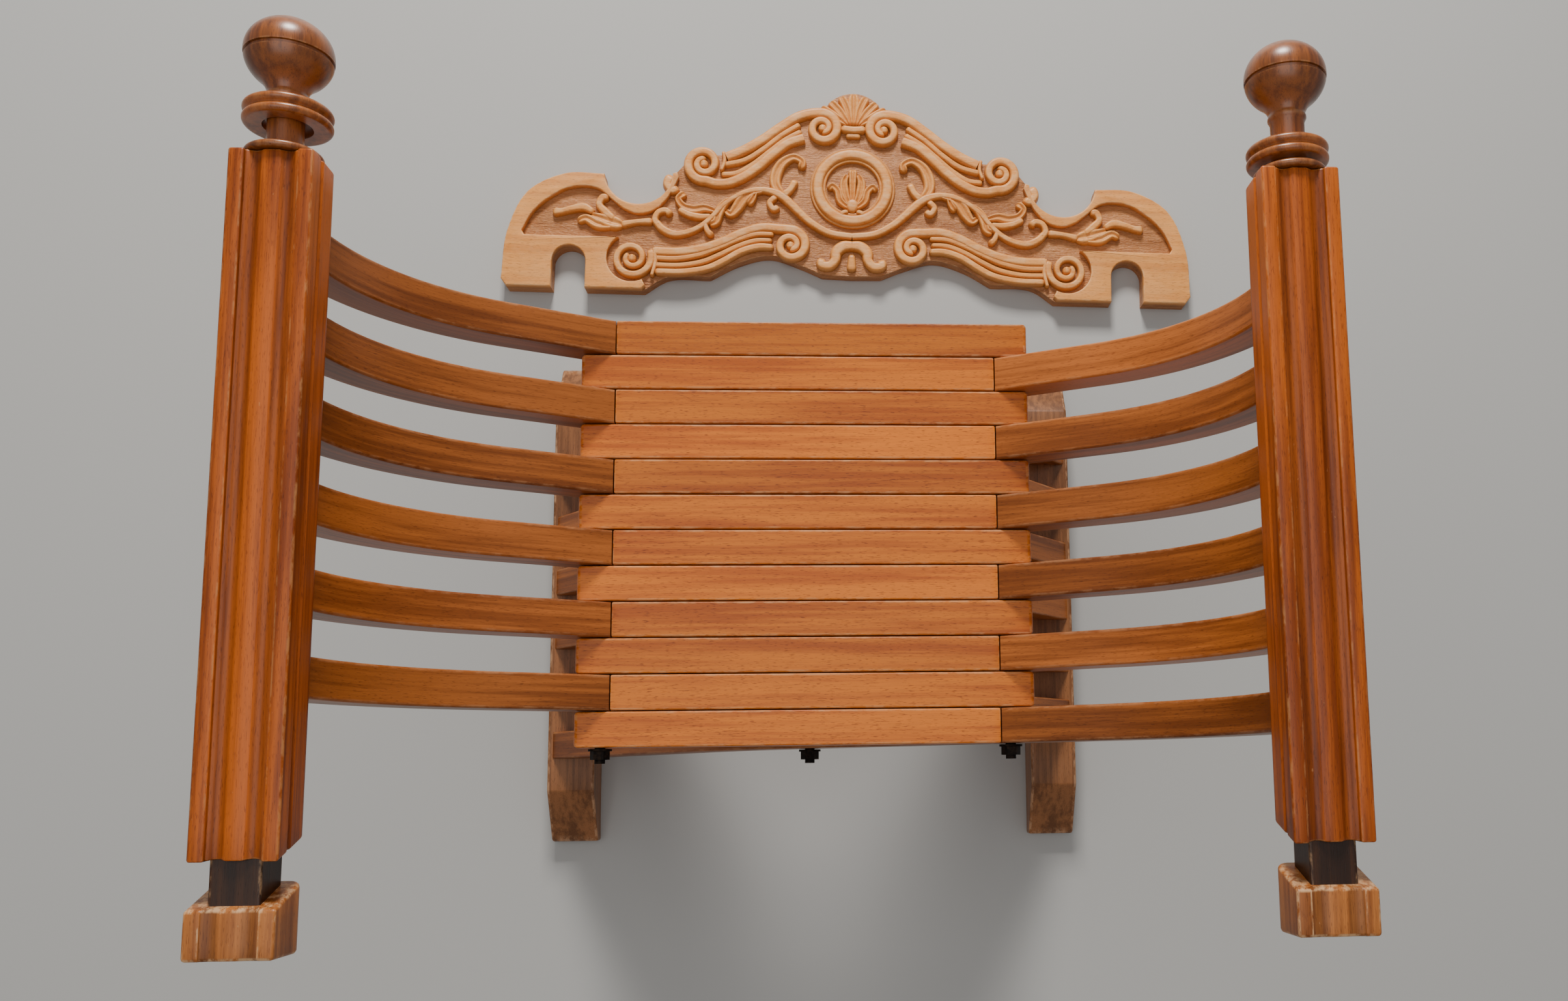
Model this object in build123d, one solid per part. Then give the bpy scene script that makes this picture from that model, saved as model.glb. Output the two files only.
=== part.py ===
from build123d import *
import math
import os

# A folding slatted X-frame armchair, with its carved back board lifted off and lying in front of it.
# Millimetres, +Z up. The sitter faces -Y, so +X is the sitter's left. Each piece is drawn about the
# middle of the seat on the floor, and at the end all are moved to the middle of their footprint.

# Seat: planes of wood side by side along Y, plane 0 at the front. Left slats lie in the even planes,
# right slats in the odd ones, and each plane also holds one seat board.
PLANES = 12
PITCH = 28.0
STRIP = 27.0
SEAT_HALF = PLANES * PITCH / 2
FRONT_FACE = (PITCH - STRIP) / 2 - SEAT_HALF
SEAT_TOP = 425.0
BOARD_THICK = 22.0
BOARD_END = 176.0
END_CHAMFER = 2.0

# The head of a board sits in a housing cut across the slat of its own plane
HOUSING_X = 150.0
HOUSING_DEEP = 10.0
BOARD_GAP = 0.6
UNDERCUT = 5.0

# Slats: from a runner, through the crossing, up to the opposite arm
SLAT_DEPTH = 29.0
PIVOT_Z = 325.0
CROSS_ANGLE = 29.0
FOOT_ANGLE = 52.0
ARM_ANGLE = 80.0
FOOT_RADIUS = 318.0
ARM_RADIUS = 189.5
STRAIGHT_UP = 262.0
HINGE_X = 158.0
HINGE_Z = PIVOT_Z + HINGE_X * math.tan(math.radians(CROSS_ANGLE))

# Arms
ARM_X = 328.0
ARM_WIDTH = 52.0
ARM_BOTTOM = 606.0
ARM_TOP = 648.0
ARM_FRONT = -201.0
ARM_REAR = 238.0
FIELD_WIDTH = 34.0
FIELD_DEPTH = 2.0
BEAD_WIDTH = 11.0

# Behind each arm: a leaning slot for the back board, round a square neck, and an end block
LEAN = 19.0
SLOT = 27.0
BLOCK_LENGTH = 29.0
BLOCK_CHAMFER = 5.0
NECK_SIDE = 30.0
NECK_TOP = 642.0
NECK_IN = 20.0

# In front of each arm: a turned finial with a captive ring on its stem
FINIAL_Z = 627.0
BALL_RADIUS = 27.5
BALL_AHEAD = 72.0
BALL_FLATNESS = 0.86
GROOVE_ANGLE = -8.0
GROOVE_HALF = 4.0
GROOVE_DEEP = 1.4
STEM_RADIUS = 11.5
STEM_LENGTH = 40.0
DISC_RADIUS = 24.0
DISC_THICK = 5.0
SPIGOT_RADIUS = 8.0
SPIGOT_LENGTH = 30.0
RING_RADIUS = 27.5
RING_BORE = 15.0
RING_HALF = 6.5
RING_DROP = 3.2
RING_AHEAD = {"left": 30.5, "right": 16.5}

# Runners on the floor
RUNNER_X = 248.5
RUNNER_WIDTH = 47.0
RUNNER_HEIGHT = 48.0
RUNNER_HALF = 252.0
RUNNER_FLAT = 200.0
RUNNER_TOE = 15.0
TENON_SIDE = 18.0
TENON_LONG = 20.0

# Steel bolts, washers and nuts
ROD_RADIUS = 4.0
FIT = 0.05
END_PLAY = 0.4
WASHER_RADIUS = 9.0
WASHER_THICK = 1.6
NUT_ACROSS = 13.0
NUT_THICK = 6.5
THREAD_OUT = 3.0
HEAD_RADIUS = 7.0
HEAD_THICK = 5.0
HEAD_PROUD = 0.3
HEAD_GAP = 0.4

# Carved back board
CREST_X = -40.5
CREST_Y = -339.0
CREST_TURN = -1.0
CREST_WIDTH = 762.0
DRAWN_WIDTH = 796.0
CREST_THICK = 22.0
NOTCH_X = 323.0
NOTCH_HALF = 19.0
NOTCH_DEEP = 50.0


def plane_y(index):
    """Y of the middle of a seat plane."""
    return (index + 0.5) * PITCH - SEAT_HALF


def xz(point):
    """A point drawn in the upright plane through the X axis."""
    return (point[0], 0, point[1])


def step(start, distance, angle):
    """The point a distance away from another, at an angle above the horizontal."""
    turn = math.radians(angle)
    return (start[0] + distance * math.cos(turn), start[1] + distance * math.sin(turn))


def to_level(point, angle, level):
    """Where a line through a point, at an angle above the horizontal, reaches a height."""
    return (point[0] + (level - point[1]) / math.tan(math.radians(angle)), level)


def slab(edges, y, depth):
    """A closed outline in the XZ plane, made solid evenly about one Y."""
    return Pos(0, y, 0) * extrude(make_face(edges), depth / 2, both=True)


def cross_hole(x, y, z, radius, length):
    """A cylinder along Y, to be cut away."""
    return Pos(x, y, z) * Cylinder(radius, length, rotation=(90, 0, 0))


def rod_hole(x, y, z):
    """A running hole for a rod through one strip, with a sinking for the rod's head in the front one."""
    hole = cross_hole(x, y, z, ROD_RADIUS + FIT, STRIP)
    if y < plane_y(1) - PITCH / 2:
        sinking = HEAD_THICK - HEAD_PROUD + HEAD_GAP
        hole += cross_hole(x, FRONT_FACE + sinking / 2, z, HEAD_RADIUS + HEAD_GAP, sinking)
    return hole


def arc_xz(centre, radius, first, last):
    """An arc from its centre, radius, and first and last angles above the horizontal."""
    angles = (first, (first + last) / 2, last)
    return ThreePointArc(*[xz(step(centre, radius, angle)) for angle in angles])


def slat_edge(offset):
    """One long edge of a left slat, at an offset above its middle line, with its two ends."""
    pivot = (0.0, PIVOT_Z)
    foot_centre = step(pivot, FOOT_RADIUS, CROSS_ANGLE - 90)
    straight_end = step(pivot, STRAIGHT_UP, CROSS_ANGLE)
    arm_centre = step(straight_end, ARM_RADIUS, CROSS_ANGLE + 90)
    foot_arc = arc_xz(foot_centre, FOOT_RADIUS + offset, FOOT_ANGLE + 90, CROSS_ANGLE + 90)
    arm_arc = arc_xz(arm_centre, ARM_RADIUS - offset, CROSS_ANGLE - 90, ARM_ANGLE - 90)
    foot_from = step(foot_centre, FOOT_RADIUS + offset, FOOT_ANGLE + 90)
    arm_from = step(arm_centre, ARM_RADIUS - offset, ARM_ANGLE - 90)
    foot = xz(to_level(foot_from, FOOT_ANGLE, RUNNER_HEIGHT))
    top = xz(to_level(arm_from, ARM_ANGLE, ARM_BOTTOM))
    middle = Line(foot_arc @ 1, arm_arc @ 0)
    edges = [Line(foot, foot_arc @ 0), foot_arc, middle, arm_arc, Line(arm_arc @ 1, top)]
    return edges, foot, top


def tenon(x, y, z):
    """A square tenon, or the mortise that it fills."""
    return Pos(x, y, z) * Box(TENON_SIDE, TENON_SIDE, TENON_LONG)


def arm_tenon(y):
    return tenon(ARM_X, y, ARM_BOTTOM + TENON_LONG / 2)


def foot_tenon(y):
    return tenon(-RUNNER_X, y, RUNNER_HEIGHT - TENON_LONG / 2)


def slat(y):
    """A left slat: foot on the right runner, crossing, housing for its board, and arm tenon."""
    upper, upper_foot, upper_top = slat_edge(SLAT_DEPTH / 2)
    lower, lower_foot, lower_top = slat_edge(-SLAT_DEPTH / 2)
    ends = [Line(upper_foot, lower_foot), Line(upper_top, lower_top)]
    body = slab(upper + lower + ends, y, STRIP)
    reach = HOUSING_DEEP / math.tan(math.radians(CROSS_ANGLE))
    housing = Box(reach, STRIP, HOUSING_DEEP)
    body -= Pos(HOUSING_X - reach / 2, y, SEAT_TOP - HOUSING_DEEP / 2) * housing
    body += arm_tenon(y)
    body += foot_tenon(y)
    for x, z in ((0, PIVOT_Z), (HINGE_X, HINGE_Z)):
        body -= rod_hole(x, y, z)
    return body


def seat_board(y):
    """A board of a left slat's plane: hinged on the right rod, its head housed in the slat."""
    slope = math.tan(math.radians(CROSS_ANGLE))
    under = SEAT_TOP - BOARD_THICK
    ledge = SEAT_TOP - HOUSING_DEEP + BOARD_GAP
    head = HOUSING_X - BOARD_GAP
    bevel = head - HOUSING_DEEP / slope
    points = [
        (END_CHAMFER - BOARD_END, under),
        (-BOARD_END, under + END_CHAMFER),
        (-BOARD_END, SEAT_TOP - END_CHAMFER),
        (END_CHAMFER - BOARD_END, SEAT_TOP),
        (head - END_CHAMFER / 2, SEAT_TOP),
        (head, SEAT_TOP - END_CHAMFER / 2),
        (head - UNDERCUT, ledge),
        (bevel, ledge),
        (bevel - (ledge - under) / slope, under),
    ]
    body = slab(Polyline(*[xz(point) for point in points], close=True), y, STRIP)
    return body - rod_hole(-HINGE_X, y, HINGE_Z)


def arm_section():
    """The arm's moulded section: strips, coves and bead on top, a quirk down each side, round below."""
    half = ARM_WIDTH / 2
    field = FIELD_WIDTH / 2
    bead = BEAD_WIDTH / 2
    sink = ARM_TOP - FIELD_DEPTH
    corner = half - 8
    points = [
        (field, sink),
        (field, ARM_TOP),
        (half - 1, ARM_TOP),
        (half, ARM_TOP - 1),
        (half, ARM_TOP - 13),
        (half - 1.5, ARM_TOP - 14),
        (half - 1.5, ARM_TOP - 17),
        (half, ARM_TOP - 18),
        (half, ARM_BOTTOM + 8),
    ]
    edges = [ThreePointArc(xz((-bead, sink)), xz((0, sink + 1)), xz((bead, sink)))]
    for side in (1, -1):
        flip = [xz((side * x, z)) for x, z in points]
        cove = ((bead + field) / 2 * side, sink - 1.2)
        edges.append(ThreePointArc(xz((side * bead, sink)), xz(cove), flip[0]))
        edges.append(Polyline(*flip))
        round_mid = (side * (half - 2.3), ARM_BOTTOM + 2.3)
        edges.append(ThreePointArc(flip[-1], xz(round_mid), xz((side * corner, ARM_BOTTOM))))
    edges.append(Line(xz((-corner, ARM_BOTTOM)), xz((corner, ARM_BOTTOM))))
    return make_face(edges)


def leaning_half(y, behind):
    """A large block on one side of the leaning face that meets the arm's top at Y."""
    size = 4 * (ARM_TOP - ARM_BOTTOM)
    middle = size / 2 if behind else -size / 2
    return Pos(ARM_X, y, ARM_TOP) * Rot(-LEAN, 0, 0) * Pos(0, middle, 0) * Box(size, size, size)


def neck():
    """The square neck, from inside the arm bar, across the slot and into the end block."""
    length = NECK_IN + SLOT + NECK_IN
    middle = ARM_REAR - NECK_IN + length / 2
    return Pos(ARM_X, middle, NECK_TOP - NECK_SIDE / 2) * Box(NECK_SIDE, length, NECK_SIDE)


def arm(slat_planes):
    """The left arm: moulded bar with a leaning rear end, neck, mortises and finial socket."""
    length = ARM_REAR - ARM_FRONT
    bar = Pos(ARM_X, ARM_FRONT + length / 2, 0) * extrude(arm_section(), length / 2, both=True)
    bar -= leaning_half(ARM_REAR, True)
    bar += neck()
    for index in slat_planes:
        bar -= arm_tenon(plane_y(index))
    socket_y = ARM_FRONT + SPIGOT_LENGTH / 2
    return bar - cross_hole(ARM_X, socket_y, FINIAL_Z, SPIGOT_RADIUS, SPIGOT_LENGTH)


def end_block():
    """The block glued on the neck, its front face parallel to the arm's leaning end."""
    rear = ARM_REAR + SLOT + BLOCK_LENGTH
    length = 2 * BLOCK_LENGTH + SLOT
    height = ARM_TOP - ARM_BOTTOM
    block = Box(ARM_WIDTH, length, height)
    rear_edges = block.edges().filter_by(Axis.X).group_by(Axis.Y)[-1]
    block = chamfer(rear_edges.sort_by(Axis.Z)[0], BLOCK_CHAMFER)
    block = Pos(ARM_X, rear - length / 2, ARM_BOTTOM + height / 2) * block
    block -= leaning_half(ARM_REAR + SLOT, False)
    return block - neck()


def turned(edges, ahead, z):
    """An outline of (radius, distance ahead) edges, turned about an axis along Y."""
    solid = revolve(make_face(edges), Axis.Y, 360)
    return Pos(ARM_X, ARM_FRONT - ahead, z) * solid


def ball_point(angle, radius=BALL_RADIUS):
    """A point of the flattened ball's outline, at an angle ahead of its widest place."""
    turn = math.radians(angle)
    return (radius * math.cos(turn), -BALL_AHEAD - BALL_FLATNESS * radius * math.sin(turn))


def finial():
    """Spigot, base disc, stem, flared neck, and a flattened ball with one groove behind its middle."""
    low = -50
    groove = (GROOVE_ANGLE - GROOVE_HALF, GROOVE_ANGLE + GROOVE_HALF)
    foot = [
        (0, SPIGOT_LENGTH),
        (SPIGOT_RADIUS, SPIGOT_LENGTH),
        (SPIGOT_RADIUS, 0),
        (DISC_RADIUS - 1, 0),
        (DISC_RADIUS, -1.5),
        (DISC_RADIUS - 1.5, -DISC_THICK),
        (STEM_RADIUS, -DISC_THICK),
        (STEM_RADIUS, -STEM_LENGTH),
    ]
    edges = [Polyline(*foot)]
    edges.append(Spline(foot[-1], (STEM_RADIUS + 2, -STEM_LENGTH - 7), ball_point(low)))
    behind = (low + groove[0]) / 2
    edges.append(Spline(ball_point(low), ball_point(behind), ball_point(groove[0])))
    inner = ball_point(GROOVE_ANGLE, BALL_RADIUS - GROOVE_DEEP)
    edges.append(Polyline(ball_point(groove[0]), inner, ball_point(groove[1])))
    tip = (0, -BALL_AHEAD - BALL_FLATNESS * BALL_RADIUS)
    ahead = [ball_point(angle) for angle in (groove[1], 10, 30, 50, 70)]
    edges.append(Spline(*ahead, tip))
    edges.append(Line(tip, foot[0]))
    return turned(edges, 0, FINIAL_Z)


def ring(side):
    """The loose ring, hanging on the stem: two flanges with rounded rims and a groove between."""
    points = [
        (RING_BORE, -RING_HALF),
        (RING_RADIUS - 1.5, -RING_HALF),
        (RING_RADIUS, 1.5 - RING_HALF),
        (RING_RADIUS, -1.2),
        (RING_RADIUS - 2, 0),
        (RING_RADIUS, 1.2),
        (RING_RADIUS, RING_HALF - 1.5),
        (RING_RADIUS - 1.5, RING_HALF),
        (RING_BORE, RING_HALF),
    ]
    return turned(Polyline(*points, close=True), RING_AHEAD[side], FINIAL_Z - RING_DROP)


def runner(slat_planes):
    """The right runner, under the feet of the left slats, sloping down to a low toe at each end."""
    points = [
        (3 - RUNNER_HALF, 0),
        (-RUNNER_HALF, 4),
        (-RUNNER_HALF, RUNNER_TOE),
        (-RUNNER_FLAT, RUNNER_HEIGHT),
        (RUNNER_FLAT, RUNNER_HEIGHT),
        (RUNNER_HALF, RUNNER_TOE),
        (RUNNER_HALF, 4),
        (RUNNER_HALF - 3, 0),
    ]
    outline = Polyline(*[(0, y, z) for y, z in points], close=True)
    body = Pos(-RUNNER_X, 0, 0) * extrude(make_face(outline), RUNNER_WIDTH / 2, both=True)
    for index in slat_planes:
        body -= foot_tenon(plane_y(index))
    return body


def rod(x, z):
    """A long bolt through all twelve planes, its round head sunk in the front strip."""
    front = FRONT_FACE - HEAD_PROUD
    rear = SEAT_HALF + END_PLAY + WASHER_THICK + NUT_THICK + THREAD_OUT
    shank = cross_hole(x, (front + rear) / 2, z, ROD_RADIUS, rear - front)
    return shank + cross_hole(x, front + HEAD_THICK / 2, z, HEAD_RADIUS, HEAD_THICK)


def washer(x, z):
    disc = Cylinder(WASHER_RADIUS, WASHER_THICK) - Cylinder(ROD_RADIUS + FIT, WASHER_THICK)
    return Pos(x, SEAT_HALF + END_PLAY + WASHER_THICK / 2, z) * Rot(90, 0, 0) * disc


def nut(x, z):
    flats = RegularPolygon(NUT_ACROSS / 2, 6, major_radius=False) - Circle(ROD_RADIUS + FIT)
    middle = SEAT_HALF + END_PLAY + WASHER_THICK + NUT_THICK / 2
    return Pos(x, middle, z) * Rot(90, 0, 0) * extrude(flats, NUT_THICK / 2, both=True)


def crest_half():
    """The right half of the back board's outline, drawn DRAWN_WIDTH wide, from the top middle down."""
    inner = NOTCH_X - NOTCH_HALF
    outer = NOTCH_X + NOTCH_HALF
    bottom = [(392, 0), (outer, 0), (outer, NOTCH_DEEP - NOTCH_HALF)]
    return [
        ThreePointArc((0, 250), (22, 243), (34, 229)),
        Spline((34, 229), (62, 224), (108, 191), (150, 168)),
        Spline((150, 168), (186, 163), (208, 140)),
        ThreePointArc((208, 140), (242, 102), (286, 137)),
        Spline((286, 137), (330, 136), (371, 114), (393, 66), (398, 8)),
        Line((398, 8), bottom[0]),
        Polyline(*bottom),
        ThreePointArc(bottom[-1], (NOTCH_X, NOTCH_DEEP), (inner, NOTCH_DEEP - NOTCH_HALF)),
        Polyline((inner, NOTCH_DEEP - NOTCH_HALF), (inner, 0), (238, 0)),
        Spline((238, 0), (214, 16), (163, 19)),
        Spline((163, 19), (130, 37), (95, 46), (60, 36), (34, 25)),
        Line((34, 25), (0, 24)),
    ]


def crest():
    """The carved back board: an arched board with a notch at each end for the arm necks."""
    edges = crest_half()
    edges += [mirror(edge, Plane.YZ) for edge in crest_half()]
    size = CREST_WIDTH / DRAWN_WIDTH
    body = extrude(scale(make_face(edges), by=size), CREST_THICK)
    return Pos(CREST_X, CREST_Y, 0) * Rot(0, 0, 180 + CREST_TURN) * body


def build():
    """Every node by name, drawn about the middle of the seat."""
    parts = {"carved_back_board": crest()}
    for first, side, opposite in ((0, "left", "right"), (1, "right", "left")):
        planes = range(first, PLANES, 2)
        half = {
            f"{side}_arm": arm(planes),
            f"{side}_end_block": end_block(),
            f"{side}_finial": finial(),
            f"{side}_ring": ring(side),
            f"{opposite}_runner": runner(planes),
        }
        for number, index in enumerate(planes, 1):
            half[f"{side}_slat_{number}"] = slat(plane_y(index))
            half[f"seat_board_{index + 1:02d}"] = seat_board(plane_y(index))
        for name, piece in half.items():
            parts[name] = piece if side == "left" else mirror(piece, Plane.YZ)
    rods = (("left_hinge", HINGE_X, HINGE_Z), ("right_hinge", -HINGE_X, HINGE_Z), ("crossing", 0, PIVOT_Z))
    for name, x, z in rods:
        parts[f"{name}_rod"] = rod(x, z)
        parts[f"{name}_washer"] = washer(x, z)
        parts[f"{name}_nut"] = nut(x, z)
    return parts


os.makedirs("parts", exist_ok=True)
PARTS = build()
BOXES = [part.bounding_box() for part in PARTS.values()]
MIDDLE_X = (min(box.min.X for box in BOXES) + max(box.max.X for box in BOXES)) / 2
MIDDLE_Y = (min(box.min.Y for box in BOXES) + max(box.max.Y for box in BOXES)) / 2
print("the middle of the seat is at", -MIDDLE_X, -MIDDLE_Y)
for NODE, PART in PARTS.items():
    export_step(Pos(-MIDDLE_X, -MIDDLE_Y, 0) * PART, f"parts/{NODE}.step")
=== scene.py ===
# %% [markdown]
# # A folding slatted armchair and its carved back board
#
# The chair is two sets of curved slats that cross like scissors on a steel rod. Twelve seat boards
# turn on two more rods and drop their heads into housings in the slats. The carved back board has
# been lifted off the arm necks and lies face up in front of the chair. The solids from the CAD
# model are loaded first, because every piece made here has to sit where they sit.

# %% Load the fixed frame
import bpy
import math
import numpy as np
from mathutils import Euler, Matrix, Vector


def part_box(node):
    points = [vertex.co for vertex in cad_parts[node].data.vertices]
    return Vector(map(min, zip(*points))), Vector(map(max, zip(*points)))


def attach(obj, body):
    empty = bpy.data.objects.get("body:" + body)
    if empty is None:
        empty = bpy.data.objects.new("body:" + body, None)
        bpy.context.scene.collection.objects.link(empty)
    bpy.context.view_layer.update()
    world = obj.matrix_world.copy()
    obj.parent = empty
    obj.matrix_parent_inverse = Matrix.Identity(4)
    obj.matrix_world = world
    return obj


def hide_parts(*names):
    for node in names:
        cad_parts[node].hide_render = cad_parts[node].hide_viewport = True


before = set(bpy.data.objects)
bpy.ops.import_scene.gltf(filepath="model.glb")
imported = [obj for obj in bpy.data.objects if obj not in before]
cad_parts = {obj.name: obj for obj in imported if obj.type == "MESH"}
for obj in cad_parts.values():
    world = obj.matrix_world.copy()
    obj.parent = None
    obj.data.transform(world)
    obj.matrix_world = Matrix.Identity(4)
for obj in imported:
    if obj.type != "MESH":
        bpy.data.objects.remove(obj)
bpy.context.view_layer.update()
MM = 0.001
print("frame nodes:", len(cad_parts))

# %% [markdown]
# All the wooden pieces are measured from the middle of the chair. The two runners are the same length
# and lie the same way each side of it, so it is half way between them. The crossing rod gives the
# height of the crossing, but not the middle, because its two ends differ. Lengths below are in
# millimetres and are turned to metres when a mesh is made, because a chair maker's numbers are
# easier to read than thousandths of a metre.

# %% Where the chair stands
rod_low, rod_high = [np.array(corner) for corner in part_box("crossing_rod")]
right_low = np.array(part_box("right_runner")[0])
left_high = np.array(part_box("left_runner")[1])
MIDDLE = (right_low + left_high) / 2 * [1, 1, 0] / MM
PIVOT = (rod_low + rod_high)[2] / 2 / MM
PLANES = 12
PITCH = 28.0
STRIP = 27.0
SEAT_TOP = 425.0
print("middle of the chair in mm:", MIDDLE, "crossing at", PIVOT)


def plane_y(index):
    """Y of the middle of one of the twelve planes of wood, the first at the front."""
    return (index + 0.5) * PITCH - PLANES * PITCH / 2


# %% [markdown]
# A camera held above the back of the seat and tipped a little forward sees the chair almost in plan.
# It is set as a place and three turns, so that the view is exact and does not depend on a target.

# %% Camera
camera_data = bpy.data.cameras.new("camera")
camera_data.sensor_width = 36.0
camera_data.lens = 31.67
camera_data.shift_x = -0.0955
camera_data.shift_y = 0.0589
camera = bpy.data.objects.new("camera", camera_data)
CAMERA_PLACE = (-0.0229, 0.1980, 1.4884)
CAMERA_TURNS = (7.927, -3.957, 179.204)
camera.location = tuple(MIDDLE * MM + CAMERA_PLACE)
camera.rotation_euler = Euler([math.radians(turn) for turn in CAMERA_TURNS])
bpy.context.scene.collection.objects.link(camera)
bpy.context.scene.camera = camera

# %% [markdown]
# The floor is one pale plane. Daylight comes from a window beyond the front of the chair, so the main
# lamp stands on that side. It is only 0.6 m across, so that its shadows keep an edge, and a wide lamp
# overhead and a pale sky fill them. A lamp shines along its own -Z, so the window is turned up about X
# by a positive angle to look back towards the chair.

# %% Floor and light
bpy.ops.mesh.primitive_plane_add(size=8, location=(MIDDLE[0] * MM, 0.1, 0))
floor = bpy.context.object
floor.name = "floor"


def area_lamp(name, location, turns, size, power, colour):
    """A soft square lamp, given its place in metres and its turns in degrees."""
    data = bpy.data.lights.new(name, "AREA")
    data.size = size
    data.energy = power
    data.color = colour
    lamp = bpy.data.objects.new(name, data)
    lamp.location = location
    lamp.rotation_euler = Euler([math.radians(turn) for turn in turns])
    bpy.context.scene.collection.objects.link(lamp)


area_lamp("window", (0.1, -2.3, 1.6), (56, 0, 0), 0.6, 88, (1.0, 0.97, 0.93))
area_lamp("ceiling", (0.3, 0.2, 3.0), (0, 0, 0), 2.2, 26, (1.0, 0.97, 0.94))
world = bpy.data.worlds.new("room")
world.use_nodes = True
world.node_tree.nodes["Background"].inputs["Color"].default_value = (0.96, 0.98, 1.0, 1)
world.node_tree.nodes["Background"].inputs["Strength"].default_value = 0.32
bpy.context.scene.world = world

# %% [markdown]
# Node trees are long to write out. Two helpers keep each material short: one adds a node and fills or
# links its inputs, the other reads as arithmetic.

# %% Helpers for node trees
def add(tree, kind, values=(), **settings):
    """Adds a node. values maps an input's name or number to a plain value or to a socket to link."""
    made = tree.nodes.new(kind)
    for key, setting in settings.items():
        setattr(made, key, setting)
    for key, value in dict(values).items():
        if isinstance(value, bpy.types.NodeSocket):
            tree.links.new(value, made.inputs[key])
        else:
            made.inputs[key].default_value = value
    return made


def calc(tree, operation, first, second=0.0, clamp=False):
    """One step of arithmetic on values."""
    return add(tree, "ShaderNodeMath", {0: first, 1: second}, operation=operation, use_clamp=clamp).outputs[0]


def blend(tree, factor, first, second, kind="MIX"):
    """Mixes two colours."""
    made = add(tree, "ShaderNodeMix", {0: factor, 6: first, 7: second}, data_type="RGBA", blend_type=kind)
    return made.outputs[2]


def between(tree, value, low, high):
    """A smooth step from 0 at low to 1 at high."""
    values = {0: value, 1: low, 2: high}
    return add(tree, "ShaderNodeMapRange", values, interpolation_type="SMOOTHSTEP").outputs[0]


def noise(tree, vector, stretch, detail=2.0, rough=0.5):
    """Noise stretched along the grain: stretch is the number of cells a metre each way."""
    scaled = add(tree, "ShaderNodeVectorMath", {0: vector, 1: stretch}, operation="MULTIPLY").outputs[0]
    values = {"Vector": scaled, "Scale": 1.0, "Detail": detail, "Roughness": rough}
    return add(tree, "ShaderNodeTexNoise", values).outputs["Fac"]


# %% [markdown]
# Stained beech has three marks at once: broad soft bands of darker stain, fine fibres, and the short
# dark flecks of its rays. Each is noise stretched along the grain by a different amount. The pattern
# reads an attribute, "grain", that every mesh carries: distance along, across and through the wood.
# A second attribute, "edge", is 1 on the arrises, where the finish has rubbed through. A third, for
# tone, makes one board lighter or darker than its neighbour. On the arms and the carving it also holds
# painted shade, darker in the coves and low down, and a painted highlight on the flats and tops. One
# node group does all this for every wood.

# %% The beech group
def colour(red, green, blue):
    """A colour given as it looks on a screen, turned to the linear values that shaders use."""
    screen = np.array([red, green, blue]) / 255
    linear = np.where(screen > 0.04045, ((screen + 0.055) / 1.055) ** 2.4, screen / 12.92)
    return (*[float(value) for value in linear], 1.0)


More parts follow.
